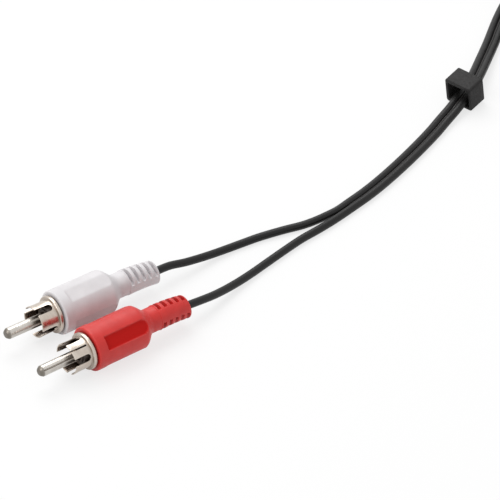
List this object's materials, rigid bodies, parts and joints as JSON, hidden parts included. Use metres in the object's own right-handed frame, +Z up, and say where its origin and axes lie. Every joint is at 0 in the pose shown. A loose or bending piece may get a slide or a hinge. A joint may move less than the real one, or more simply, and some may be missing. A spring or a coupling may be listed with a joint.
{
  "type": "stereo audio cable",
  "caption": "Thin black twin audio lead with white and red phono plugs at both ends, split tails and a small slider block; the spare length lies in a neat coil.",
  "frame": {"origin": "under the middle of the near pair of plugs, on the surface that the lead lies on", "axes": "+X runs along the near pair from the pins towards the cord, +Y from the red plug to the white plug, +Z up"},
  "size_m": [0.2716, 0.0829, 0.0127],
  "materials": {
    "nickel_pin": "bright nickel plate on rolled brass",
    "nickel_shell": "bright nickel plate on pressed sheet",
    "white_overmould": "soft satin moulding",
    "red_overmould": "soft satin moulding",
    "insulator_plastic": "hard moulded",
    "inner_mould_plastic": "natural, unpolished",
    "cord_jacket": "smooth extruded jacket, soft sheen",
    "copper_wire": "bare drawn copper",
    "slider_plastic": "fine moulded grain"
  },
  "bodies": {
    "root": {"near_left_centre_pin": "nickel_pin", "near_left_ground_shell": "nickel_shell", "near_left_insulator": "insulator_plastic", "near_left_inner_mould": "inner_mould_plastic", "near_left_overmould": "white_overmould", "near_left_cord_end": "cord_jacket", "near_left_signal_wire": "copper_wire", "near_left_shield_wire": "copper_wire", "near_right_centre_pin": "nickel_pin", "near_right_ground_shell": "nickel_shell", "near_right_insulator": "insulator_plastic", "near_right_inner_mould": "inner_mould_plastic", "near_right_overmould": "red_overmould", "near_right_cord_end": "cord_jacket", "near_right_signal_wire": "copper_wire", "near_right_shield_wire": "copper_wire", "far_left_centre_pin": "nickel_pin", "far_left_ground_shell": "nickel_shell", "far_left_insulator": "insulator_plastic", "far_left_inner_mould": "inner_mould_plastic", "far_left_overmould": "white_overmould", "far_left_cord_end": "cord_jacket", "far_left_signal_wire": "copper_wire", "far_left_shield_wire": "copper_wire", "far_right_centre_pin": "nickel_pin", "far_right_ground_shell": "nickel_shell", "far_right_insulator": "insulator_plastic", "far_right_inner_mould": "inner_mould_plastic", "far_right_overmould": "red_overmould", "far_right_cord_end": "cord_jacket", "far_right_signal_wire": "copper_wire", "far_right_shield_wire": "copper_wire", "near_left_tail": "cord_jacket", "near_right_tail": "cord_jacket", "twin_cord": "cord_jacket", "far_left_tail": "cord_jacket", "far_right_tail": "cord_jacket", "coiled_cord": "cord_jacket", "slider_block": "slider_plastic"}
  },
  "joints": []
}
